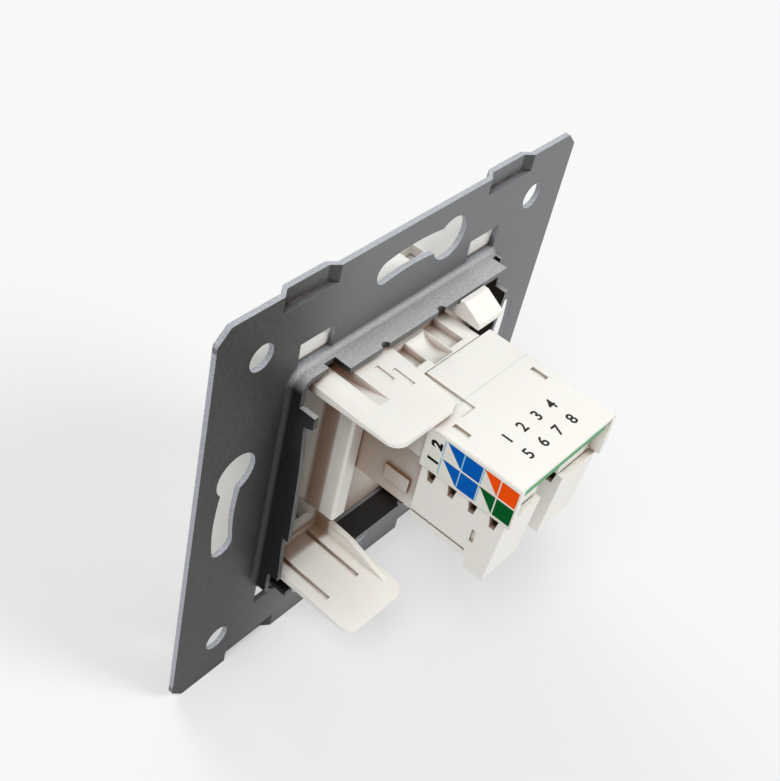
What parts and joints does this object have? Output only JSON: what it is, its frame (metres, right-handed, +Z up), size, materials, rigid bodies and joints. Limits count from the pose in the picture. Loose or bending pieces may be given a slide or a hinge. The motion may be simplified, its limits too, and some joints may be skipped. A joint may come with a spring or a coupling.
{
  "type": "ethernet socket insert",
  "caption": "Square pressed steel wall-box plate with a snap-in white carrier, front cover and rear-wired modular network jack.",
  "frame": {"origin": "centre of the square plate, on its back face, which rests on the wall box", "axes": "+Y from the front cover to the rear, +Z up as installed, +X to the left as seen from behind"},
  "size_m": [0.071, 0.0396, 0.071],
  "materials": {
    "plate_paint": "dark grey stove enamel, semi-gloss, on pressed steel",
    "carrier_plastic": "moulded white, satin",
    "cover_plastic": "moulded white, gloss front",
    "jack_plastic": "moulded off-white, satin",
    "comb_plastic": "moulded off-white, satin",
    "board_green": "green solder mask on glass-fibre board",
    "contact_gold": "gold-plated spring bronze",
    "blade_tin": "tin-plated bronze",
    "label_film": "printed white film with plain colour fields"
  },
  "bodies": {
    "insert": {"mounting_plate": "plate_paint", "insert_carrier": "carrier_plastic", "front_cover": "cover_plastic", "jack_housing": "jack_plastic", "jack_rear_cover": "jack_plastic", "circuit_board": "board_green", "contact_comb": "comb_plastic", "terminal_block_left": "jack_plastic", "terminal_block_right": "jack_plastic", "label_left": "label_film", "label_right": "label_film", "socket_contact_1": "contact_gold", "socket_contact_2": "contact_gold", "socket_contact_3": "contact_gold", "socket_contact_4": "contact_gold", "socket_contact_5": "contact_gold", "socket_contact_6": "contact_gold", "socket_contact_7": "contact_gold", "socket_contact_8": "contact_gold", "idc_contact_1": "blade_tin", "idc_contact_2": "blade_tin", "idc_contact_3": "blade_tin", "idc_contact_4": "blade_tin", "idc_contact_5": "blade_tin", "idc_contact_6": "blade_tin", "idc_contact_7": "blade_tin", "idc_contact_8": "blade_tin"},
    "left_cap": {"idc_cap_left": "jack_plastic"},
    "right_cap": {"idc_cap_right": "jack_plastic"}
  },
  "joints": [
    {"name": "left_cap_pull", "type": "slide", "parent": "insert", "child": "left_cap", "axis": [0, 0, -1], "range_m": [0, 0.0075]},
    {"name": "right_cap_pull", "type": "slide", "parent": "insert", "child": "right_cap", "axis": [0, 0, -1], "range_m": [0, 0.0075]}
  ]
}
